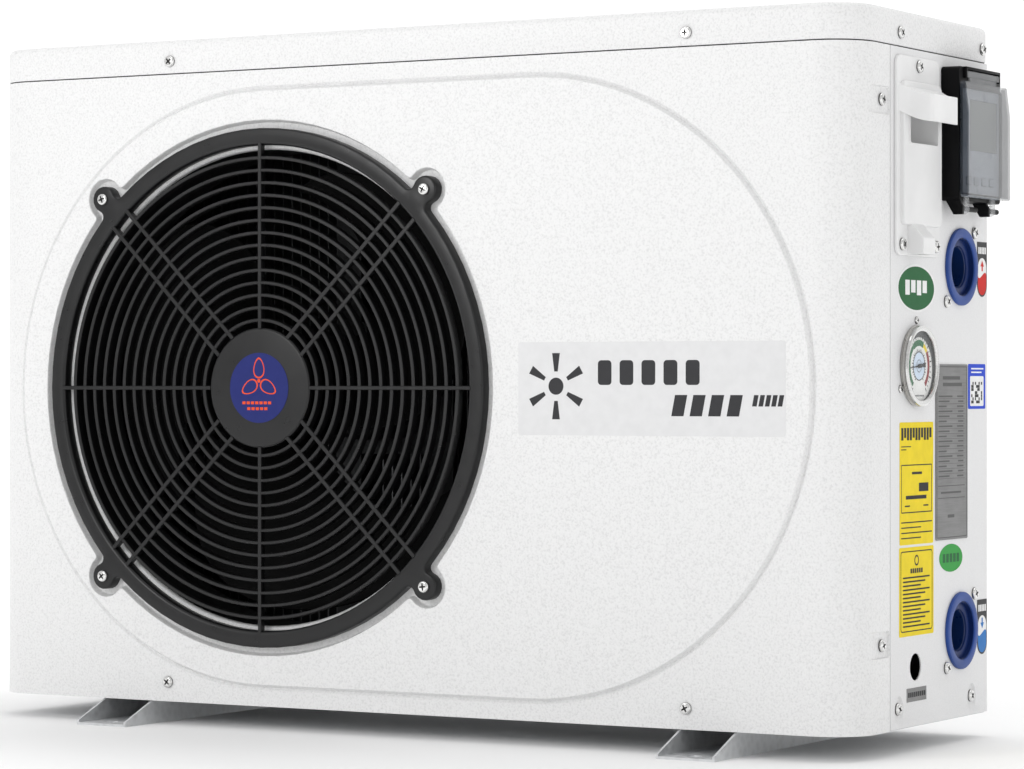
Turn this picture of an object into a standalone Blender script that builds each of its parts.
"""Side-blowing swimming-pool heat pump, built as an assembly of separate named pieces.

Frame: X runs along the cabinet's width, the water connections are on its +X side, -Y is the front with
the fan, +Z is up and the feet stand on z = 0. The origin is the centre of the whole footprint. Driving
dimensions are in millimetres; every mesh is scaled to metres when its object is made.
"""

import math

import bmesh
import bpy
from mathutils import Matrix, Vector
from mathutils.geometry import delaunay_2d_cdt

MM = 0.001

# ---------------------------------------------------------------- driving dimensions, millimetres
CABINET_W, CABINET_D = 850.0, 266.0
PANEL_H, LID_H, FOOT_H = 547.0, 29.5, 20.0
CORNER_R, WRAP = 38.0, 64.5  # the front panel turns both corners and returns this far along the sides
SHEET, GAP = 1.2, 0.3  # sheet thickness, and the clearance that touching pieces keep

RIGHT, LEFT = CABINET_W / 2, -CABINET_W / 2
FRONT, BACK = -CABINET_D / 2, CABINET_D / 2
SEAM_Z = FOOT_H + PANEL_H  # where the lid meets the panels
TOP_Z = SEAM_Z + LID_H
HANDLE_REACH = 26.0  # the furthest that anything stands out of the right side
ORIGIN_X = -HANDLE_REACH / 2  # where the cabinet's middle lies, so that the origin is the footprint's

FAN_X, FAN_Z = -131.0, FOOT_H + PANEL_H / 2
PLATEAU_RISE, PLATEAU_R, PLATEAU_SLOPE = 3.0, 257.0, 3.0
PLATEAU_X = 132.0  # centres of the plateau's two round ends, either side of the middle
RECESS_W = -3.3  # the grille's seat, measured outwards from the panel's flat
RECESS_R, MOUTH_R, COLLAR_W = 229.5, 200.0, -9.0
EAR_DISTANCE = 234.0  # grille screws, from the fan's axis
GRILLE_R, GRILLE_BORE_R, GRILLE_EAR_R = 222.5, 208.0, 11.5
GRILLE_FRONT, GRILLE_BACK, SLAT_DEPTH = FRONT - 7.0, FRONT + 3.0, 5.0
HUB_R, SLAT_COUNT, SLAT_FIRST_R, SLAT_LAST_R, SLAT_HALF = 51.2, 14, 58.0, 197.0, 1.65
SPOKE_HALF, TWIN_OFFSET = 1.7, 10.2

BLADE_R, BLADE_COUNT, BLADE_THICK = 194.0, 3, 3.0
BLADE_FRONT, BLADE_BACK = -110.0, -45.0
MOTOR_R, MOTOR_FRONT, MOTOR_BACK, SHAFT_R = 47.0, 6.0, 78.0, 4.0

SOCKET_Y = FRONT + 206.3
SOCKET_Z = (FOOT_H + 72.6, FOOT_H + 373.8)  # inlet below, outlet above
SOCKET_FLANGE_R, SOCKET_SEAT_R, SOCKET_BORE_R, SOCKET_BODY_R = 32.0, 24.15, 16.6, 28.0
SOCKET_SCREW = 29.2  # screws stand this far up and back, and down and forward, of a socket's axis

GAUGE_Y, GAUGE_Z, GAUGE_R, GAUGE_SCREW_R = FRONT + 116.3, FOOT_H + 291.3, 33.0, 37.0
NEEDLE_REST_TILT = -5.0  # degrees below the horizontal, pointing to the front

HANDLE_Y = (FRONT + 72.4, FRONT + 157.6)
HANDLE_Z = (FOOT_H + 379.7, FOOT_H + 540.0)
HOOD_DROP = 8.5  # how much lower the bow's front is than its root
CONTROLLER_Y = (FRONT + 166.0, FRONT + 254.0)
CONTROLLER_Z = (FOOT_H + 427.0, FOOT_H + 537.0)
HOUSING_DEPTH, COVER_REACH, COVER_WALL = 16.2, 25.0, 1.8
HINGE_X, HINGE_Z, PIN_R, KNUCKLE_R = RIGHT + 14.0, FOOT_H + 420.6, 2.2, 4.6
BUTTON_COUNT, BUTTON_TRAVEL = 4, 0.8

PARTITION_X = 112.0
DRAIN_XY = (-190.0, 50.0)
COIL_THICK, COIL_Z = 26.0, (FOOT_H + 12.0, FOOT_H + 556.0)
COIL_CORE, FIN_PITCH, FIN_THICK = 4.0, 10.0, 1.4
COMPRESSOR_XY, COMPRESSOR_R = (206.0, 8.0), 58.0
EXCHANGER_XY, EXCHANGER_R = (338.0, SOCKET_Y), 50.0

MATERIALS = {  # name: (colour, roughness, metallic)
    "white_coat": ((0.86, 0.86, 0.86), 0.45, 0.0),
    "black_plastic": ((0.035, 0.036, 0.038), 0.4, 0.0),
    "fan_plastic": ((0.015, 0.015, 0.016), 0.25, 0.0),
    "white_plastic": ((0.82, 0.82, 0.82), 0.3, 0.0),
    "galvanised": ((0.55, 0.56, 0.57), 0.4, 0.8),
    "screw_steel": ((0.6, 0.6, 0.6), 0.25, 1.0),
    "blue_plastic": ((0.04, 0.10, 0.42), 0.35, 0.0),
    "aluminium": ((0.62, 0.63, 0.64), 0.35, 0.9),
    "copper": ((0.72, 0.36, 0.2), 0.3, 1.0),
    "brass": ((0.7, 0.55, 0.25), 0.35, 1.0),
    "black_steel": ((0.02, 0.02, 0.022), 0.4, 0.3),
    "rubber": ((0.02, 0.02, 0.02), 0.8, 0.0),
    "grey_pvc": ((0.3, 0.31, 0.33), 0.5, 0.0),
    "smoked_clear": ((0.45, 0.47, 0.5), 0.08, 0.0),
    "screen": ((0.3, 0.32, 0.31), 0.15, 0.0),
    "key_plastic": ((0.75, 0.77, 0.8), 0.35, 0.0),
    "dial_paper": ((0.85, 0.85, 0.83), 0.6, 0.0),
    "needle_black": ((0.01, 0.01, 0.01), 0.4, 0.0),
    "glass": ((0.9, 0.92, 0.93), 0.02, 0.0),
}


# ---------------------------------------------------------------- outlines
def arc(cx, cy, radius, start, end, steps):
    """Points on an arc, both ends included; angles in degrees."""
    sweep = [math.radians(start + (end - start) * i / steps) for i in range(steps + 1)]
    return [(cx + radius * math.cos(a), cy + radius * math.sin(a)) for a in sweep]


def circle(cx, cy, radius, steps):
    return arc(cx, cy, radius, 0, 360, steps)[:-1]


def rectangle(x0, x1, y0, y1):
    return [(x0, y0), (x1, y0), (x1, y1), (x0, y1)]


def rounded(x0, x1, y0, y1, radius, steps=3):
    """A rectangle with round corners."""
    corners = ((x1, y1, 0), (x0, y1, 90), (x0, y0, 180), (x1, y0, 270))
    points = []
    for x, y, turn in corners:
        cx = x - math.copysign(radius, x - (x0 + x1) / 2)
        cy = y - math.copysign(radius, y - (y0 + y1) / 2)
        points += arc(cx, cy, radius, turn, turn + 90, steps)
    return points


def stadium(half_length, radius, cy, steps=20):
    """Two half circles joined by straight sides, along X."""
    return arc(half_length, cy, radius, -90, 90, steps) + arc(-half_length, cy, radius, 90, 270, steps)


def slot(cx, cy, length, width, steps=4):
    """A round-ended slot along Y."""
    reach, r = (length - width) / 2, width / 2
    return arc(cx, cy + reach, r, 0, 180, steps) + arc(cx, cy - reach, r, 180, 360, steps)


def eared_circle(cx, cy, ring_r, ear_r, fillet, ring_steps, ear_steps=6):
    """A circle with four ears on its diagonals, each blended in by a concave fillet."""
    reach = ring_r + fillet
    cos_b = (reach**2 + EAR_DISTANCE**2 - (ear_r + fillet) ** 2) / (2 * reach * EAR_DISTANCE)
    blend = math.degrees(math.acos(cos_b))
    points = []
    for quarter in range(4):
        diagonal = 45 + 90 * quarter
        ear = Vector((math.cos(math.radians(diagonal)), math.sin(math.radians(diagonal)))) * EAR_DISTANCE
        for side in (-1, 1):
            angle = math.radians(diagonal + side * blend)
            centre = Vector((math.cos(angle), math.sin(angle))) * reach
            to_ring = math.degrees(angle) + 180
            to_ear = math.degrees(math.atan2(*(ear - centre).yx))
            turn = (to_ear - to_ring + 180) % 360 - 180
            path = arc(cx + centre.x, cy + centre.y, fillet, to_ring, to_ring + turn, 2)
            if side < 0:
                points += path
                start = to_ear + 180
            else:
                finish = to_ear + 180
                span = (finish - start) % 360
                points += arc(cx + ear.x, cy + ear.y, ear_r, start, start + span, ear_steps)[1:-1]
                points += path[::-1]
        points += arc(cx, cy, ring_r, diagonal + blend, diagonal + 90 - blend, ring_steps)[1:-1]
    return points


# ---------------------------------------------------------------- mesh tools
def within(point, loop):
    """Whether a point lies inside a loop."""
    x, y = point
    inside = False
    for (x0, y0), (x1, y1) in zip(loop, loop[1:] + loop[:1]):
        if (y0 > y) != (y1 > y) and x < x0 + (y - y0) * (x1 - x0) / (y1 - y0):
            inside = not inside
    return inside


def flat(loops):
    """A flat mesh at w = 0 filling the first loop less the others."""
    points, edges = [], []
    for loop in loops:
        first = len(points)
        points += [Vector(p) for p in loop]
        edges += [(first + i, first + (i + 1) % len(loop)) for i in range(len(loop))]
    found, _, faces, *_ = delaunay_2d_cdt(points, edges, [], 0, 1e-5)
    boxes = []
    for loop in loops:
        xs, ys = [x for x, _ in loop], [y for _, y in loop]
        boxes.append((min(xs), max(xs), min(ys), max(ys), loop))
    bm = bmesh.new()
    verts = [bm.verts.new((x, y, 0)) for x, y in found]
    for face in faces:
        middle = sum((found[i] for i in face), Vector((0, 0))) / 3
        near = [p for x0, x1, y0, y1, p in boxes if x0 < middle.x < x1 and y0 < middle.y < y1]
        if within(middle, loops[0]) and sum(within(middle, p) for p in near) == 1:
            bm.faces.new([verts[i] for i in face])
    bmesh.ops.delete(bm, geom=[v for v in bm.verts if not v.link_faces], context="VERTS")
    return bm


def raised(bm, height):
    for vert in bm.verts:
        vert.co.z += height
    return bm


def band(low, high, low_w, high_w):
    """The strip between two loops with the same number of points."""
    bm = bmesh.new()
    a = [bm.verts.new((x, y, low_w)) for x, y in low]
    b = [bm.verts.new((x, y, high_w)) for x, y in high]
    for i in range(len(a)):
        j = (i + 1) % len(a)
        bm.faces.new((a[i], a[j], b[j], b[i]))
    return bm


def merged(parts, weld=0.001):
    """Several meshes as one, welded where they meet."""
    whole = bmesh.new()
    for part in parts:
        mesh = bpy.data.meshes.new("part")
        part.to_mesh(mesh)
        whole.from_mesh(mesh)
        bpy.data.meshes.remove(mesh)
        part.free()
    bmesh.ops.remove_doubles(whole, verts=whole.verts, dist=weld)
    bmesh.ops.recalc_face_normals(whole, faces=whole.faces)
    return whole


AXES = {"XY": (0, 1, 2), "XZ": (0, 2, 1), "YZ": (1, 2, 0)}


def stood(bm, plane):
    """Turns a mesh drawn in (u, v, w) so that u and v run along the two named axes."""
    iu, iv, iw = AXES[plane]
    for vert in bm.verts:
        u, v, w = vert.co
        vert.co[iu], vert.co[iv], vert.co[iw] = u, v, w
    bmesh.ops.recalc_face_normals(bm, faces=bm.faces)
    return bm


def block(loops, low, high, plane="XY"):
    """A solid with the given outline and holes, from low to high along the third axis."""
    bm = raised(flat(loops), low)
    made = bmesh.ops.extrude_face_region(bm, geom=bm.faces[:])
    for item in made["geom"]:
        if isinstance(item, bmesh.types.BMVert):
            item.co.z = high
    return stood(bm, plane)


def box(x, y, z):
    return block([rectangle(*x, *y)], *z)


def turned(profile, centre, axis, steps):
    """Spins a closed (radius, height) profile about an axis through centre."""
    bm = bmesh.new()
    verts = [bm.verts.new((r, 0, h)) for r, h in profile]
    edges = [bm.edges.new((verts[i], verts[(i + 1) % len(verts)])) for i in range(len(verts))]
    bmesh.ops.spin(bm, geom=verts + edges, axis=(0, 0, 1), cent=(0, 0, 0), angle=math.tau, steps=steps)
    bmesh.ops.remove_doubles(bm, verts=bm.verts, dist=0.001)
    bmesh.ops.dissolve_degenerate(bm, dist=0.0005, edges=bm.edges)
    inner = [edge for edge in bm.edges if len(edge.link_faces) == 0]
    bmesh.ops.delete(bm, geom=inner, context="EDGES")
    turn = {"X": Matrix.Rotation(math.pi / 2, 4, "Y"), "Y": Matrix.Rotation(-math.pi / 2, 4, "X")}
    bm.transform(Matrix.Translation(centre) @ turn.get(axis, Matrix.Identity(4)))
    bmesh.ops.recalc_face_normals(bm, faces=bm.faces)
    return bm


def cylinder(radius, low, high, centre, axis, steps=24):
    return turned([(0, low), (radius, low), (radius, high), (0, high)], centre, axis, steps)


def tube_path(points, bend, steps=2):
    """A route through the points with each corner rounded to the bend radius."""
    route = [Vector(points[0])]
    for before, corner, after in zip(points, points[1:], points[2:]):
        corner = Vector(corner)
        a, b = (Vector(before) - corner).normalized(), (Vector(after) - corner).normalized()
        half = a.angle(b) / 2
        reach = bend / math.tan(half)
        centre = corner + (a + b).normalized() * (bend / math.sin(half))
        p, q = corner + a * reach - centre, corner + b * reach - centre
        route += [centre + bend * p.slerp(q, i / steps) for i in range(steps + 1)]
    return route + [Vector(points[-1])]


def pipe(points, radius, bend, sides=8):
    """A round rod along a rounded route."""
    route = tube_path(points, bend)
    bm = bmesh.new()
    rings, normal = [], None
    for i, point in enumerate(route):
        ahead, behind = route[min(i + 1, len(route) - 1)], route[max(i - 1, 0)]
        along = (ahead - behind).normalized()
        normal = normal or along.orthogonal()
        normal = (normal - along * normal.dot(along)).normalized()
        other = along.cross(normal)
        turns = [math.tau * k / sides for k in range(sides)]
        around = [math.cos(t) * normal + math.sin(t) * other for t in turns]
        rings.append([bm.verts.new(point + radius * offset) for offset in around])
    for low, high in zip(rings, rings[1:]):
        for k in range(sides):
            bm.faces.new((low[k], low[(k + 1) % sides], high[(k + 1) % sides], high[k]))
    bm.faces.new(rings[0])
    bm.faces.new(rings[-1])
    bmesh.ops.recalc_face_normals(bm, faces=bm.faces)
    return bm


def as_object(bm):
    mesh = bpy.data.meshes.new("work")
    bm.to_mesh(mesh)
    bm.free()
    helper = bpy.data.objects.new("work", mesh)
    bpy.context.scene.collection.objects.link(helper)
    return helper


def evaluated(helper):
    """The helper's mesh with its modifiers applied; the helper is removed."""
    graph = bpy.context.evaluated_depsgraph_get()
    mesh = bpy.data.meshes.new_from_object(helper.evaluated_get(graph))
    bpy.data.objects.remove(helper)
    bm = bmesh.new()
    bm.from_mesh(mesh)
    bpy.data.meshes.remove(mesh)
    bmesh.ops.remove_doubles(bm, verts=bm.verts, dist=0.0005)
    return bm


def combined(base, tools, operation="DIFFERENCE"):
    """Cuts the tools from the base, or joins them to it, one after another."""
    for tool in tools:
        target, cutter = as_object(base), as_object(tool)
        change = target.modifiers.new("change", "BOOLEAN")
        change.operation, change.solver, change.object = operation, "EXACT", cutter
        base = evaluated(target)
        bpy.data.objects.remove(cutter)
    return base


def thickened(bm, thickness=SHEET):
    """A sheet's surface given its thickness on the side away from its normals."""
    helper = as_object(bm)
    change = helper.modifiers.new("sheet", "SOLIDIFY")
    change.thickness, change.offset, change.use_even_offset = thickness, -1, True
    return evaluated(helper)


def folded(bm, path, cuts):
    """Folds a flat blank (along, up, out) round the cabinet; path gives a place and its outward side."""
    for cut in cuts:
        everything = bm.verts[:] + bm.edges[:] + bm.faces[:]
        bmesh.ops.bisect_plane(bm, geom=everything, dist=0.001, plane_co=(cut, 0, 0), plane_no=(1, 0, 0))
    for vert in bm.verts:
        (x, y), (nx, ny) = path(vert.co.x)
        up, out = vert.co.y, vert.co.z
        vert.co = (x + nx * out, y + ny * out, up)
    return bm


def facing(bm, point_inside):
    """Turns an open sheet's faces so that they look away from a point inside the cabinet."""
    bmesh.ops.recalc_face_normals(bm, faces=bm.faces)
    face = max(bm.faces, key=lambda f: f.calc_area())
    if (face.calc_center_median() - Vector(point_inside)).dot(face.normal) < 0:
        bmesh.ops.reverse_faces(bm, faces=bm.faces)
    return bm


# ---------------------------------------------------------------- objects
def clear_scene():
    for item in list(bpy.data.objects):
        bpy.data.objects.remove(item, do_unlink=True)


def material(name):
    found = bpy.data.materials.get(name)
    if found:
        return found
    colour, roughness, metallic = MATERIALS[name]
    made = bpy.data.materials.new(name)
    made.use_nodes = True
    shader = made.node_tree.nodes["Principled BSDF"]
    shader.inputs["Base Color"].default_value = (*colour, 1)
    shader.inputs["Roughness"].default_value = roughness
    shader.inputs["Metallic"].default_value = metallic
    return made


def node(name, bm, material_name, origin=(0, 0, 0), smooth=True):
    """One finished piece. Its mesh is drawn in the cabinet's frame; origin is where its own origin goes."""
    bm.transform(Matrix.Scale(MM, 4) @ Matrix.Translation(-Vector(origin)))
    mesh = bpy.data.meshes.new(name)
    bm.to_mesh(mesh)
    bm.free()
    mesh.materials.append(material(material_name))
    if smooth:
        mesh.shade_smooth()
        mesh.set_sharp_from_angle(angle=math.radians(35))
    made = bpy.data.objects.new(name, mesh)
    bpy.context.scene.collection.objects.link(made)
    made.parent = bpy.data.objects["unit_frame"]
    made.location = Vector(origin) * MM
    return made


def unit_frame():
    """The empty that carries the whole unit, off centre by half of what stands out of the right side."""
    frame = bpy.data.objects.new("unit_frame", None)
    bpy.context.scene.collection.objects.link(frame)
    frame.location = (ORIGIN_X * MM, 0, 0)


# ---------------------------------------------------------------- screws
SCREW_HEAD_R, SCREW_HEAD_H, SHANK_R, HOLE_R = 5.2, 2.6, 2.0, 2.6


def screw(place, direction, length):
    """A pan-head screw whose head sits just off the surface at place and looks along direction."""
    profile = [
        (0, -length),
        (SHANK_R, -length),
        (SHANK_R, GAP),
        (SCREW_HEAD_R, GAP),
        (SCREW_HEAD_R, GAP + 0.9),
        (SCREW_HEAD_R * 0.72, GAP + SCREW_HEAD_H * 0.85),
        (0, GAP + SCREW_HEAD_H),
    ]
    bm = turned(profile, (0, 0, 0), "Z", 10)
    spin = Vector((0, 0, 1)).rotation_difference(Vector(direction)).to_matrix().to_4x4()
    bm.transform(Matrix.Translation(place) @ spin)
    return bm


def grille_screw_places():
    reach = EAR_DISTANCE * math.sqrt(0.5)
    return [(FAN_X + sx * reach, FAN_Z + sz * reach) for sx, sz in ((-1, 1), (1, 1), (-1, -1), (1, -1))]


def handle_screw_places():
    middle = sum(HANDLE_Y) / 2
    low = HANDLE_Z[0] + 8.8
    return [(middle, HANDLE_Z[1] - 7.4), (middle - 33.4, low), (middle + 33.4, low)]


def socket_screw_places():
    signs = (1, -1)
    return [(SOCKET_Y + s * SOCKET_SCREW, z + s * SOCKET_SCREW) for z in SOCKET_Z for s in signs]


def gauge_screw_places():
    turns = [math.radians(a) for a in (90, 210, 330)]
    return [(GAUGE_Y + GAUGE_SCREW_R * math.cos(a), GAUGE_Z + GAUGE_SCREW_R * math.sin(a)) for a in turns]


def make_screws():
    for i, (x, z) in enumerate(grille_screw_places()):
        node(f"grille_screw_{i + 1}", screw((x, GRILLE_FRONT, z), (0, -1, 0), 14.0), "screw_steel")
    for i, (y, z) in enumerate(socket_screw_places()):
        node(f"socket_screw_{i + 1}", screw((RIGHT, y, z), (1, 0, 0), 6.0), "screw_steel")


# ---------------------------------------------------------------- cabinet
def outline(inset, steps=5):
    """The cabinet's plan outline: large round corners in front, small ones behind."""
    x, back, front, r, rear_r = RIGHT - inset, BACK - inset, FRONT + inset, CORNER_R - inset, 3.0
    return (
        arc(x - rear_r, back - rear_r, rear_r, 0, 90, 2)
        + arc(-x + rear_r, back - rear_r, rear_r, 90, 180, 2)
        + arc(-x + r, front + r, r, 180, 270, steps)
        + arc(x - r, front + r, r, 270, 360, steps)
    )


def make_base_pan():
    """A shallow tray that everything inside stands on, with an upturned edge behind the panels."""
    inset, floor, rim = SHEET + 2 * GAP, FOOT_H + GAP, FOOT_H + 28.0
    edge = outline(inset)
    drain = circle(DRAIN_XY[0], DRAIN_XY[1], 11.8, 16)
    bm = merged([raised(flat([edge, drain]), floor), band(edge, edge, floor, rim)])
    facing(bm, (0, 0, rim))
    node("base_pan", thickened(bm, 1.0), "galvanised")
    spigot = [(9.4, -11), (11.2, -11), (11, 2.0), (15, 2.0), (15, 3.5), (9.4, 3.5)]
    node("drain_spigot", turned(spigot, (*DRAIN_XY, floor), "Z", 16), "black_plastic")


def make_foot_rail(name, x):
    """An up-facing channel under the tray, longer than it, with sloping ends and bolt slots."""
    half, reach, nose, thick = 26.0, CABINET_D / 2 + 38.0, 4.0, 2.0
    floor = [rectangle(x - half, x + half, -reach, reach)]
    floor += [slot(x, sy * (reach - 16), 16, 10) for sy in (-1, 1)]
    wall = [(-reach, 0), (reach, 0), (reach, nose)]
    wall += [(reach - 40, FOOT_H), (40 - reach, FOOT_H), (-reach, nose)]
    walls = [raised(flat([wall]), x + s * half) for s in (-1, 1)]
    bm = merged([flat(floor)] + [stood(w, "YZ") for w in walls])
    facing(bm, (x, 0, FOOT_H))
    node(name, thickened(bm, thick), "galvanised")


FRONT_FLAT = CABINET_W / 2 - CORNER_R
CORNER_RUN = CORNER_R * math.pi / 2
BLANK_HALF = FRONT_FLAT + CORNER_RUN + WRAP - CORNER_R


def front_path(along):
    """Where a point of the front panel's blank goes, and which way is outwards there."""
    side, run = math.copysign(1, along), abs(along)
    if run <= FRONT_FLAT:
        return (along, FRONT), (0, -1)
    turn = min((run - FRONT_FLAT) / CORNER_R, math.pi / 2)
    past = max(run - FRONT_FLAT - CORNER_RUN, 0)
    nx, ny = side * math.sin(turn), -math.cos(turn)
    x = side * FRONT_FLAT + CORNER_R * nx
    return (x, FRONT + CORNER_R + CORNER_R * ny + past), (nx, ny)


def make_front_panel():
    """One pressed sheet: raised plateau, sunk seat with the fan's mouth in it, and wrapped sides."""
    low, high = FOOT_H + GAP, SEAM_Z - GAP
    blank = rectangle(-BLANK_HALF, BLANK_HALF, low, high)
    foot = stadium(PLATEAU_X, PLATEAU_R, FAN_Z)
    brow = stadium(PLATEAU_X, PLATEAU_R - PLATEAU_SLOPE, FAN_Z)
    seat = eared_circle(FAN_X, FAN_Z, RECESS_R, 18.5, 2.0, 8)
    seat_floor = eared_circle(FAN_X, FAN_Z, RECESS_R - 1.5, 17.0, 2.0, 8)
    mouth = circle(FAN_X, FAN_Z, MOUTH_R, 48)
    holes = [circle(x, z, HOLE_R, 6) for x, z in grille_screw_places()]
    collar = circle(FAN_X, FAN_Z, MOUTH_R - 1.0, 48)
    bm = merged([
        flat([blank, foot]),
        band(foot, brow, 0, PLATEAU_RISE),
        raised(flat([brow, seat]), PLATEAU_RISE),
        band(seat, seat_floor, PLATEAU_RISE, RECESS_W),
        raised(flat([seat_floor, mouth] + holes), RECESS_W),
        band(mouth, collar, RECESS_W, COLLAR_W),
    ])
    bends = [FRONT_FLAT + CORNER_RUN * i / 5 for i in range(6)]
    bm = folded(bm, front_path, [s * b for b in bends for s in (-1, 1)])
    node("front_panel", thickened(facing(bm, (0, 0, FAN_Z)), 1.0), "white_coat")


def make_top_cover():
    """The lid: a deep-skirted cap with a rounded top edge."""
    low, edge_r = SEAM_Z + GAP, 5.0
    rings = [(0, low), (0, TOP_Z - edge_r), (edge_r * 0.3, TOP_Z - edge_r * 0.3), (edge_r, TOP_Z)]
    loops = [(outline(inset), z) for inset, z in rings]
    bm = merged(
        [band(a, b, za, zb) for (a, za), (b, zb) in zip(loops, loops[1:])]
        + [raised(flat([loops[-1][0]]), TOP_Z)]
    )
    node("top_cover", thickened(facing(bm, (0, 0, low)), 1.0), "white_coat")


SIDE_RUN = BACK - (FRONT + WRAP) - 2 * GAP


def side_path(side):
    """Path of a blank that starts at the front panel's edge and turns the rear corner on that side."""

    def path(along):
        if along <= SIDE_RUN:
            return (side * RIGHT, FRONT + WRAP + 2 * GAP + along), (side, 0)
        return (side * (RIGHT - (along - SIDE_RUN)), BACK), (0, 1)

    return path


def make_right_panel():
    """The service panel: the right side and the back of the compressor's room in one folded sheet."""
    low, high = FOOT_H + GAP, SEAM_Z - GAP
    rear = RIGHT - PARTITION_X - 2.0
    start = FRONT + WRAP + 2 * GAP
    loops = [rectangle(0, SIDE_RUN + rear, low, high)]
    loops += [circle(SOCKET_Y - start, z, SOCKET_BODY_R + 0.6, 20) for z in SOCKET_Z]
    loops += [circle(GAUGE_Y - start, GAUGE_Z, 28.6, 20)]
    loops += [circle(FRONT + 114.6 - start, FOOT_H + 48.6, 11.0, 12)]  # the power cord's hole
    loops += [rectangle(FRONT + 85.4 - start, FRONT + 148 - start, FOOT_H + 466, FOOT_H + 509)]
    spots = handle_screw_places() + socket_screw_places() + gauge_screw_places()
    loops += [circle(y - start, z, HOLE_R, 6) for y, z in spots]
    vents = [(SIDE_RUN + 60 + 65 * i, FOOT_H + 330 + 22 * j) for i in range(3) for j in range(5)]
    loops += [rectangle(u, u + 50, z, z + 7) for u, z in vents]
    bm = folded(flat(loops), side_path(1), [SIDE_RUN])
    node("right_side_panel", thickened(facing(bm, (0, 0, FAN_Z)), 1.0), "white_coat")


def make_left_panel():
    """The left side: an air intake with rows of slots, turned round the rear corner."""
    low, high = FOOT_H + GAP, SEAM_Z - GAP
    rows, columns, pitch = 11, 2, 42.0
    loops = [rectangle(0, SIDE_RUN + 24, low, high)]
    for j in range(rows):
        z = low + 48 + pitch * j
        loops += [rectangle(22 + 85 * i, 22 + 85 * i + 72, z, z + 24) for i in range(columns)]
    bm = folded(flat(loops), side_path(-1), [SIDE_RUN])
    node("left_side_panel", thickened(facing(bm, (0, 0, FAN_Z)), 1.0), "white_coat")


def make_rear_guard():
    """The coated wire grid over the coil at the back."""
    left, right, low, high, wire = LEFT + 14, PARTITION_X + 12, FOOT_H + 30, SEAM_Z - 8, 3.0
    columns, rows = 6, 6
    cell_w = (right - left - wire) / columns
    cell_h = (high - low - wire) / rows
    loops = [rectangle(left, right, low, high)]
    for i in range(columns):
        for j in range(rows):
            x, z = left + wire + i * cell_w, low + wire + j * cell_h
            loops.append(rectangle(x, x + cell_w - wire, z, z + cell_h - wire))
    node("rear_guard", block(loops, BACK - 4.5, BACK - 1.5, "XZ"), "black_steel", smooth=False)


def make_partition():
    low, high = FOOT_H + 2, TOP_Z - 2
    sheet = rectangle(FRONT + 3.5, BACK - COIL_THICK - 12, low, high)
    bm = block([sheet], PARTITION_X, PARTITION_X + 1, "YZ")
    node("partition_plate", bm, "galvanised", smooth=False)


# ---------------------------------------------------------------- fan
def grille_cells():
    """The openings between the slats and the spokes."""
    pitch = (SLAT_LAST_R - SLAT_FIRST_R) / (SLAT_COUNT - 1)
    slats = [SLAT_FIRST_R + pitch * i for i in range(SLAT_COUNT)]
    inner = [HUB_R] + [r + SLAT_HALF for r in slats]
    outer = [r - SLAT_HALF for r in slats] + [GRILLE_BORE_R]
    cells = []
    for r0, r1 in zip(inner, outer):
        steps = 2 if r1 < 130 else 3

        def lean(offset, r):
            return math.degrees(math.asin(offset / r))

        for quarter in range(4):
            for mirror in (0, 1):
                span = []
                for r in (r0, r1):
                    a = 90 * quarter + lean(SPOKE_HALF, r)
                    b = 90 * quarter + 45 - lean(TWIN_OFFSET + SPOKE_HALF, r)
                    if mirror:
                        a, b = 90 * (quarter + 1) - lean(SPOKE_HALF, r), 90 * (2 * quarter + 1) - b
                    span.append(arc(FAN_X, FAN_Z, r, a, b, steps))
                cells.append(span[0] + span[1][::-1])
            middle = 90 * quarter + 45
            half = TWIN_OFFSET - SPOKE_HALF
            near = arc(FAN_X, FAN_Z, r0, middle - lean(half, r0), middle + lean(half, r0), 1)
            far = arc(FAN_X, FAN_Z, r1, middle + lean(half, r1), middle - lean(half, r1), 1)
            cells.append(near + far)
    return cells


def make_grille():
    """The moulded fan grille: eared ring, fourteen slats, four single and four twin spokes, hub disc."""
    rim = eared_circle(FAN_X, FAN_Z, GRILLE_R, GRILLE_EAR_R, 5.0, 7)
    holes = [circle(x, z, HOLE_R, 6) for x, z in grille_screw_places()]
    face = block([rim] + grille_cells() + holes, GRILLE_FRONT, GRILLE_FRONT + SLAT_DEPTH, "XZ")
    ring = [circle(FAN_X, FAN_Z, r, 32) for r in (GRILLE_R - 1.5, GRILLE_BORE_R + 1.5)]
    skirt = block(ring, GRILLE_FRONT + SLAT_DEPTH - 1, GRILLE_BACK, "XZ")
    node("fan_grille", combined(face, [skirt], "UNION"), "black_plastic")


def make_shroud():
    """The ring behind the mouth that the blades run in."""
    start, end = -RECESS_W - 1.0 + FRONT + 7.0, -62.0
    step = start + 1.5
    profile = [(205, start), (224, start), (224, step), (206.5, step), (206.5, end), (205, end)]
    bm = turned([(r, -y) for r, y in profile], (FAN_X, 0, FAN_Z), "Y", 40)
    bm.transform(Matrix.Rotation(math.pi, 4, (0, 0, 1)))
    bm.transform(Matrix.Translation((2 * FAN_X, 0, 0)))
    node("fan_shroud", bm, "black_steel")


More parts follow.
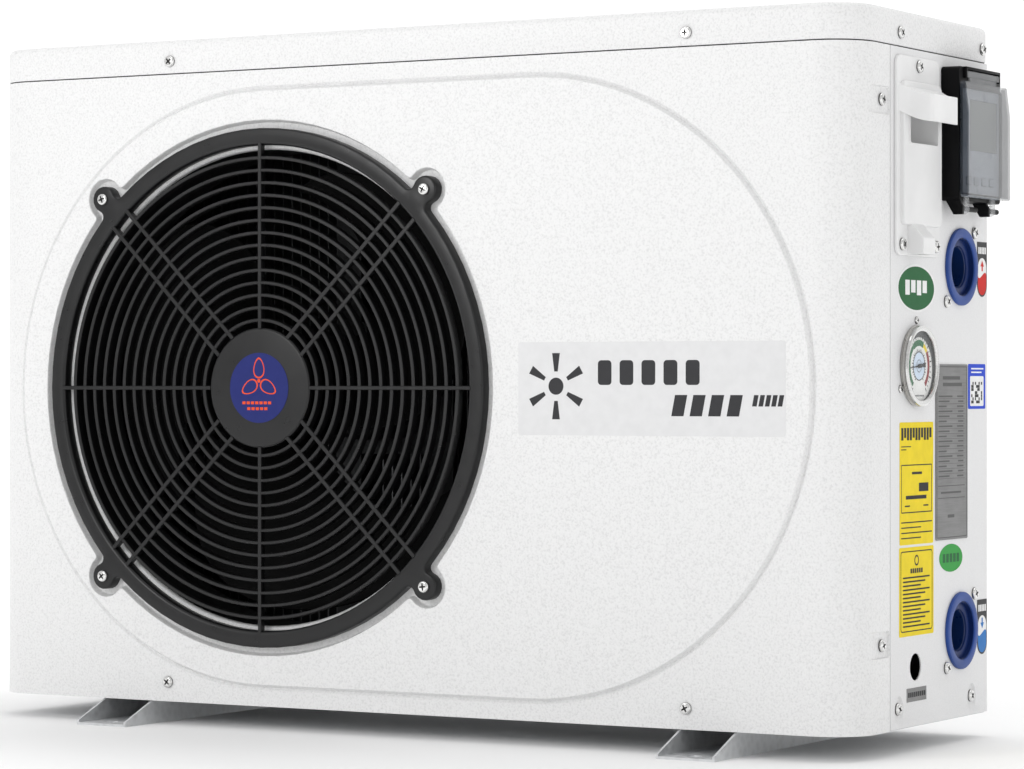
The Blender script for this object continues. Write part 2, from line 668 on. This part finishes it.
def blade(start):
    """One swept blade as a thick sheet; angle, sweep and lean change along its length."""
    rows, columns, root = 5, 7, 34.0
    bm = bmesh.new()
    grid = []
    for i in range(rows + 1):
        share = i / rows
        r = root + (BLADE_R - root) * share
        span = math.radians(62 + 30 * share)
        sweep = math.radians(start + 34 * share**1.5)
        rise = (BLADE_BACK - BLADE_FRONT) * (1 - 0.22 * share)
        line = []
        for j in range(columns + 1):
            t = j / columns
            tip = 1 - 0.10 * (2 * t - 1) ** 4 * share**3
            a = sweep + span * t
            y = (BLADE_FRONT + BLADE_BACK) / 2 + rise * (t - 0.5) + 5 * math.sin(math.pi * t)
            line.append(bm.verts.new((FAN_X + r * tip * math.cos(a), y, FAN_Z + r * tip * math.sin(a))))
        grid.append(line)
    for low, high in zip(grid, grid[1:]):
        for j in range(columns):
            bm.faces.new((low[j], low[j + 1], high[j + 1], high[j]))
    bmesh.ops.recalc_face_normals(bm, faces=bm.faces)
    return thickened(bm, BLADE_THICK)


def make_fan():
    """The rotor: moulded three-bladed fan, motor shaft and the nut that holds them together."""
    hub = [(SHAFT_R + 0.3, -40), (44, -40), (44, -98), (38, -104), (SHAFT_R + 0.3, -104)]
    hub_mesh = turned([(r, y) for r, y in hub], (FAN_X, 0, FAN_Z), "Y", 24)
    blades = [blade(90 + 360 / BLADE_COUNT * i) for i in range(BLADE_COUNT)]
    fan = combined(hub_mesh, blades, "UNION")
    axis = (FAN_X, 0, FAN_Z)
    bore = cylinder(SHAFT_R + 0.3, -120, -20, axis, "Y", 12)
    node("fan_blades", combined(fan, [bore]), "fan_plastic", origin=axis)
    node("fan_shaft", cylinder(SHAFT_R, -110, MOTOR_FRONT + 20, axis, "Y", 12), "screw_steel", origin=axis)
    nut = block([circle(FAN_X, FAN_Z, 8, 6), circle(FAN_X, FAN_Z, 4.4, 12)], -109.5, -104.3, "XZ")
    node("fan_nut", nut, "brass", origin=axis)


def make_motor():
    profile = [
        (SHAFT_R + 0.4, MOTOR_FRONT),
        (16, MOTOR_FRONT),
        (18, MOTOR_FRONT + 8),
        (MOTOR_R - 4, MOTOR_FRONT + 10),
        (MOTOR_R, MOTOR_FRONT + 15),
        (MOTOR_R, MOTOR_BACK),
        (0, MOTOR_BACK),
        (0, MOTOR_FRONT + 22),
        (SHAFT_R + 0.4, MOTOR_FRONT + 22),
    ]
    node("fan_motor", turned(profile, (FAN_X, 0, FAN_Z), "Y", 24), "black_steel")
    rail, half, y = 26.0, 62.0, MOTOR_BACK + GAP
    low, high = FOOT_H + 2, TOP_Z - 2
    loops = [
        rectangle(FAN_X - half, FAN_X + half, low, high),
        rectangle(FAN_X - half + rail, FAN_X + half - rail, low + 20, FAN_Z - 60),
        rectangle(FAN_X - half + rail, FAN_X + half - rail, FAN_Z + 60, high - 20),
    ]
    node("motor_bracket", block(loops, y, y + 2, "XZ"), "galvanised", smooth=False)


# ---------------------------------------------------------------- refrigerant and water circuits
def make_coil():
    """The finned coil: a side block on the left, and a rear block with its end plate and return bends."""
    y1, x0 = BACK - 8, LEFT + 6
    y0, x1, t = FRONT + WRAP + 6, PARTITION_X - 8, COIL_THICK
    end, core = y1 - t - GAP, COIL_CORE
    side = [(x0, y0), (x0 + core, y0)]
    for i in range(int((end - y0 - 4) / FIN_PITCH)):
        y = y0 + 2 + FIN_PITCH * i
        side += [(x0 + core, y), (x0 + t, y), (x0 + t, y + FIN_THICK), (x0 + core, y + FIN_THICK)]
    side += [(x0 + core, end), (x0, end)]
    node("evaporator_side_coil", block([side], *COIL_Z), "aluminium", smooth=False)
    rear = [(x0, y1 - core)]
    for i in range(int((x1 - x0 - 4) / FIN_PITCH)):
        x = x0 + 2 + FIN_PITCH * i
        rear += [(x, y1 - core), (x, y1 - t), (x + FIN_THICK, y1 - t), (x + FIN_THICK, y1 - core)]
    rear += [(x1, y1 - core), (x1, y1), (x0, y1)]
    parts = [block([rectangle(y1 - t, y1, *COIL_Z)], x1 - 1, x1 + 1.5, "YZ")]
    pitch, r = 88.0, 4.8
    for i in range(6):
        x, y, z = x1 + 0.9, y1 - t / 2, COIL_Z[0] + 32 + pitch * i
        parts.append(pipe([(x, y, z), (x + 24, y, z), (x + 24, y, z + 42), (x, y, z + 42)], r, 14, 6))
    whole = combined(block([rear], *COIL_Z), parts, "UNION")
    node("evaporator_coil", whole, "aluminium", smooth=False)


def make_compressor():
    """Hermetic rotary compressor on a three-armed foot plate with rubber mounts, and its accumulator."""
    x, y = COMPRESSOR_XY
    foot_z = FOOT_H + 20
    low = foot_z + 3 + GAP
    body = [(0, low), (34, low), (COMPRESSOR_R, low + 22), (COMPRESSOR_R, low + 205)]
    body += [(40, low + 238), (0, low + 244)]
    shell = turned(body, (x, y, 0), "Z", 24)
    node("compressor", shell, "black_steel")
    turns = [math.radians(degrees) for degrees in (50, 170, 290)]
    corners = [(x + 74 * math.cos(a), y + 74 * math.sin(a)) for a in turns]
    plate = []
    for i, (cx, cy) in enumerate(corners):
        facing_angle = (50, 170, 290)[i]
        plate += arc(cx, cy, 13, facing_angle - 60, facing_angle + 60, 4)
    holes = [circle(cx, cy, 6.8, 8) for cx, cy in corners]
    node("compressor_foot_plate", block([plate] + holes, foot_z, foot_z + 3), "black_steel")
    for i, (cx, cy) in enumerate(corners):
        profile = [
            (0, FOOT_H + 1.6),
            (12, FOOT_H + 1.6),
            (12, foot_z - GAP),
            (5.6, foot_z - GAP),
            (5.6, foot_z + 8),
            (0, foot_z + 8),
        ]
        node(f"rubber_mount_{i + 1}", turned(profile, (cx, cy, 0), "Z", 12), "rubber")
    ax, ay, a_low, a_high, ar = x + 70, y - 76, FOOT_H + 90, FOOT_H + 250, 25.0
    profile = [(0, a_low), (ar - 12, a_low), (ar, a_low + 12)]
    profile += [(ar, a_high - 12), (ar - 12, a_high), (0, a_high)]
    node("accumulator", turned(profile, (ax, ay, 0), "Z", 16), "black_steel")


VALVE_Z, VALVE_R, VALVE_HALF = FOOT_H + 385.0, 13.0, 45.0


def make_pipes():
    """Copper runs between the compressor, the reversing valve, the coil and the water exchanger."""
    x, y = COMPRESSOR_XY
    top = FOOT_H + 23 + GAP + 244
    profile = [
        (0, -VALVE_HALF),
        (8, -VALVE_HALF),
        (VALVE_R, 6 - VALVE_HALF),
        (VALVE_R, VALVE_HALF - 6),
        (8, VALVE_HALF),
        (0, VALVE_HALF),
    ]
    node("reversing_valve", turned(profile, (x, y, VALVE_Z), "X", 12), "brass")
    ceiling = VALVE_Z - VALVE_R - GAP
    node("discharge_pipe", pipe([(x, y, top + GAP), (x, y, ceiling)], 5.0, 12), "copper")
    ax, ay = x + 70, y - 76
    low = FOOT_H + 250 + GAP
    suction = [(ax, ay, low), (ax, ay, VALVE_Z - 60), (x + 30, y, VALVE_Z - 60), (x + 30, y, ceiling)]
    node("suction_pipe", pipe(suction, 6.0, 16), "copper")
    coil_x, coil_y = PARTITION_X + 24, BACK - 8 - COIL_THICK / 2
    gas = [(x - 30, y, ceiling), (x - 30, y, VALVE_Z - 50)]
    gas += [(coil_x, coil_y - 40, z) for z in (VALVE_Z - 50, FOOT_H + 70)]
    node("gas_pipe", pipe(gas, 5.0, 14), "copper")
    ex, ey = EXCHANGER_XY
    roof = VALVE_Z + VALVE_R + GAP
    hot = [(x, y, roof), (x, y, roof + 42), (ex, ey - 20, roof + 42), (ex, ey - 20, FOOT_H + 422 + GAP)]
    node("exchanger_gas_pipe", pipe(hot, 5.0, 14), "copper")


def make_exchanger():
    """The water heat exchanger: an upright shell with a side port at each socket."""
    x, y = EXCHANGER_XY
    low, high = FOOT_H + 30, FOOT_H + 422
    r = EXCHANGER_R
    body = [(0, low), (r - 6, low), (r, low + 6), (r, high - 6), (r - 6, high), (0, high)]
    shell = turned(body, (x, y, 0), "Z", 24)
    port_end = RIGHT - 32 - GAP
    ports = [cylinder(24, 0, port_end - x, (x, y, z), "X", 16) for z in SOCKET_Z]
    node("water_exchanger", combined(shell, ports, "UNION"), "grey_pvc")
    for name, z in zip(("water_inlet_socket", "water_outlet_socket"), SOCKET_Z):
        profile = [
            (SOCKET_BORE_R, -32),
            (SOCKET_BODY_R, -32),
            (SOCKET_BODY_R, GAP),
            (SOCKET_FLANGE_R, GAP),
            (SOCKET_FLANGE_R, 2.2),
            (SOCKET_FLANGE_R - 1, 3.0),
            (SOCKET_SEAT_R, 3.0),
            (SOCKET_SEAT_R, -1.0),
            (SOCKET_BORE_R, -1.0),
        ]
        node(name, turned(profile, (RIGHT, y, z), "X", 28), "blue_plastic")
    stand = block([circle(x, y, 30, 16)], FOOT_H + 1.6, FOOT_H + 30 - GAP)
    node("exchanger_stand", stand, "rubber")


def make_control_box():
    """The electrics tray above the compressor, with its lid and the main components on it."""
    x, y, z = (PARTITION_X + 14, 300), (FRONT + 10, FRONT + 82), (FOOT_H + 440, FOOT_H + 535)
    tray = box(x, y, z)
    hollow = box((x[0] + 1.5, x[1] - 1.5), (y[0] - 5, y[1] - 1.5), (z[0] + 1.5, z[1] - 1.5))
    node("control_box", combined(tray, [hollow]), "galvanised", smooth=False)
    board_y = y[1] - 1.5 - GAP
    board = box((x[0] + 12, x[1] - 60), (board_y - 2, board_y), (z[0] + 12, z[1] - 12))
    node("control_board", board, "key_plastic", smooth=False)
    capacitor = cylinder(17, z[0] + 1.5 + GAP, z[0] + 68, (x[1] - 32, y[1] - 32, 0), "Z", 14)
    node("fan_capacitor", capacitor, "aluminium")


# ---------------------------------------------------------------- pressure gauge
def make_gauge():
    """Panel gauge: flanged case, printed dial, needle on its spindle, glass and bezel."""
    centre = (RIGHT, GAUGE_Y, GAUGE_Z)
    case = [
        (0, -32),
        (12, -32),
        (28, -26),
        (28, GAP),
        (GAUGE_R, GAP),
        (GAUGE_R, 5.0),
        (30.2, 5.0),
        (30.2, 1.6),
        (2.0, 1.6),
        (2.0, -6),
        (0, -6),
    ]
    node("gauge_case", turned(case, centre, "X", 28), "brass")
    dial = [(2.0, 1.9), (29.8, 1.9), (29.8, 2.4), (2.0, 2.4)]
    node("gauge_dial", turned(dial, centre, "X", 24), "dial_paper")
    tilt = math.radians(180 - NEEDLE_REST_TILT)
    pointer = [(-3, -0.6), (-19, -0.25), (-19, 0.25), (-3, 0.6), (-3, 1.6), (3, 1.6), (3, 1.0)]
    pointer += [(11, 2.0), (11, -2.0), (3, -1.0), (3, -1.6), (-3, -1.6)]
    arm = block([pointer], 3.0, 3.5, "YZ")
    needle = combined(arm, [cylinder(1.3, -4, 4.0, (0, 0, 0), "X", 8)], "UNION")
    needle.transform(Matrix.Translation(centre) @ Matrix.Rotation(tilt - math.pi, 4, "X"))
    node("gauge_needle", needle, "needle_black", origin=centre)
    node("gauge_glass", cylinder(29.8, 4.4, 5.0, centre, "X", 24), "glass")
    bezel = [(25.4, 5.3), (GAUGE_R, 5.3), (GAUGE_R, 6.2), (31, 7.6), (27.5, 7.6), (25.4, 6.4)]
    node("gauge_bezel", turned(bezel, centre, "X", 28), "screw_steel")


# ---------------------------------------------------------------- handle
def leaning(bm):
    """Lowers the bow as it stands out, so that its roof slopes down and away from the panel."""
    for vert in bm.verts:
        out = min(max((vert.co.x - RIGHT - 2.8) / 23.2, 0), 1)
        vert.co.z -= HOOD_DROP * (1 - (1 - out) ** 2)
    return bm


def make_handle():
    """The moulded grip: screwed plate, raised body, hooded bow over a finger pocket, cable spout below."""
    y0, y1 = HANDLE_Y
    z0, z1 = HANDLE_Z
    face = RIGHT + GAP
    plate = block([rounded(y0, y1, z0, z1, 8)], face, face + 2.5, "YZ")
    body = block([rounded(y0 + 6.6, y1 - 3.6, z0 + 24.5, z1 - 20.5, 4)], face + 0.6, RIGHT + 6.5, "YZ")
    ya, yb = y0 + 3.5, y1 - 3.9
    bow = [(1, ya), (2.9, ya), (10.5, ya + 7), (18, ya + 10.6), (24, ya + 13.6), (26, ya + 16.5)]
    bow += [(26, yb - 14), (24.5, yb - 10.5), (7, yb), (1, yb)]
    hood = leaning(block([[(RIGHT + x, y) for x, y in bow]], FOOT_H + 495, FOOT_H + 517))
    bucket = box((RIGHT - 20, RIGHT + 3), (FRONT + 86.2, FRONT + 147.2), (FOOT_H + 467, FOOT_H + 508))
    spout = [(1, 1), (17, 1), (17, 14), (6, 26), (1, 26)]
    nose = block([[(RIGHT + x, z0 + z) for x, z in spout]], y0 + 20.4, y0 + 43.6, "XZ")
    solid = combined(plate, [body, hood, bucket, nose], "UNION")
    pocket = box((RIGHT - 17.5, RIGHT + 12), (FRONT + 89, FRONT + 144.4), (FOOT_H + 470, FOOT_H + 505))
    inner = [(6.6, ya + 7.2), (9, ya + 9.5), (16.5, ya + 13.2), (23, ya + 18.3)]
    inner += [(23, yb - 15.3), (22, yb - 13), (9, yb - 4.2), (6.6, yb - 4.2)]
    grip = leaning(block([[(RIGHT + x, y) for x, y in inner]], FOOT_H + 470, FOOT_H + 513.5))
    hollow = box((RIGHT + 3, RIGHT + 15), (y0 + 22.4, y0 + 41.6), (z0 - 4, z0 + 12))
    holes = [cylinder(HOLE_R, -4, 6, (face, y, z), "X", 8) for y, z in handle_screw_places()]
    node("carry_handle", combined(solid, [pocket, grip, hollow] + holes), "white_plastic")


# ---------------------------------------------------------------- controller
def button_places():
    y0, y1 = CONTROLLER_Y
    pitch = (y1 - y0 - 24) / BUTTON_COUNT
    return [(y0 + 12 + pitch * (i + 0.5), CONTROLLER_Z[0] + 17) for i in range(BUTTON_COUNT)]


def make_controller():
    """The wired controller: back housing with hinge arms, key plate, screen, keys and the clear cover."""
    y0, y1 = CONTROLLER_Y
    z0, z1 = CONTROLLER_Z
    back, front = RIGHT + GAP, RIGHT + HOUSING_DEPTH
    shell = block([rounded(y0, y1, z0, z1, 4)], back, front, "YZ")
    cavity = block([rounded(y0 + 3, y1 - 3, z0 + 3, z1 - 16, 3)], back + 2, front + 5, "YZ")
    shell = combined(shell, [cavity])
    arms, pins = [], []
    for y, reach in ((y0 + 2, 34), (y0 + 57, 24)):
        side = [(back + 3, z0 + 4), (back + 3, z0), (HINGE_X - 4, HINGE_Z - 5), (HINGE_X + 4, HINGE_Z - 5)]
        side += [(HINGE_X + 4, HINGE_Z + 2), (front - 1, z0 + 0.5), (front - 1, z0 + 2.5)]
        arms.append(block([side], y, y + 4, "XZ"))
        pins.append(cylinder(PIN_R, 2, reach + 4, (HINGE_X, y, HINGE_Z), "Y", 10))
    lip = [box((front - 1, RIGHT + 19), (y0 + 9, y1 - 7), (z1 - 2.4, z1))]
    lip += [box((front - 1, RIGHT + 19), (y, y + 2.2), (z1 - 9.5, z1 - 1)) for y in (y0 + 9, y1 - 9.2)]
    node("controller_housing", combined(shell, arms + pins + lip, "UNION"), "black_plastic")

    plate_x = (front - 1.6, front - 0.2)
    loops = [rounded(y0 + 3.4, y1 - 3.4, z0 + 3.4, z1 - 16.4, 2.6)]
    window = (y0 + 23, y1 - 7, z0 + 42, z0 + 84)
    loops.append(rectangle(*window))
    loops += [rounded(y - 5.5, y + 5.5, z - 3.5, z + 3.5, 1.5) for y, z in button_places()]
    node("controller_key_plate", block(loops, *plate_x, "YZ"), "key_plastic")
    wy0, wy1, wz0, wz1 = window
    screen = [rectangle(wy0 + GAP, wy1 - GAP, wz0 + GAP, wz1 - GAP)]
    node("controller_screen", block(screen, plate_x[0] - 3, plate_x[1] - 0.4, "YZ"), "screen", smooth=False)
    for i, (y, z) in enumerate(button_places()):
        cap = rounded(y - 5.1, y + 5.1, z - 3.1, z + 3.1, 1.3)
        key = block([cap], plate_x[0] - 1, plate_x[1] + 1.2, "YZ")
        node(f"controller_button_{i + 1}", key, "key_plastic", origin=(plate_x[1], y, z))
    make_cover(y0, y1, z0, z1, front)


def make_cover(y0, y1, z0, z1, front):
    """The clear flip-down cover: a shallow tray with a finger tab on top and two knuckles on the pins."""
    back, face = front + 0.6, RIGHT + COVER_REACH
    low, high = z0 + 3.0, z1 - 12.5
    side = [(back, low), (face, low), (face, high - 25), (face - 3, high), (back, high)]
    inner = [
        (back - 1, low + COVER_WALL),
        (face - COVER_WALL, low + COVER_WALL),
        (face - COVER_WALL, high - 25.2),
        (face - 3 - COVER_WALL * 0.75, high - COVER_WALL),
        (back - 1, high - COVER_WALL),
    ]
    tray = block([side], y0 - 0.5, y1 + 0.5, "XZ")
    tray = combined(tray, [block([inner], y0 - 0.5 + COVER_WALL, y1 + 0.5 - COVER_WALL, "XZ")])
    tab = [box((back + 0.2, back + 1.8), (y0 + 17, y1 - 15), (high - 1, high + 5))]
    tab += [box((back, RIGHT + 19.5), (y0 + 12.2, y1 - 10.2), (high + 4, high + 9))]
    knuckles = []
    for y in (y0 + 7, y0 + 62):
        knuckles.append(cylinder(KNUCKLE_R, y, y + 9, (HINGE_X, 0, HINGE_Z), "Y", 12))
        knuckles.append(box((back, HINGE_X + 4.4), (y, y + 9), (HINGE_Z, low + 1)))
    bore = [cylinder(PIN_R + 0.6, y - 5, y + 15, (HINGE_X, 0, HINGE_Z), "Y", 12) for y in (y0 + 7, y0 + 62)]
    solid = combined(tray, tab + knuckles, "UNION")
    node("controller_cover", combined(solid, bore), "smoked_clear", origin=(HINGE_X, y0, HINGE_Z))


def make_rating_plate():
    y, z = (FRONT + 154.5, FRONT + 220.0), (FOOT_H + 148.8, FOOT_H + 293.0)
    node("rating_plate", box((RIGHT + GAP, RIGHT + GAP + 0.5), y, z), "aluminium", smooth=False)


def main():
    clear_scene()
    unit_frame()
    make_base_pan()
    make_foot_rail("foot_rail_left", -275.5)
    make_foot_rail("foot_rail_right", 295.0)
    make_front_panel()
    make_top_cover()
    make_right_panel()
    make_left_panel()
    make_rear_guard()
    make_partition()
    make_grille()
    make_shroud()
    make_fan()
    make_motor()
    make_coil()
    make_compressor()
    make_pipes()
    make_exchanger()
    make_control_box()
    make_gauge()
    make_handle()
    make_controller()
    make_rating_plate()
    make_screws()


main()
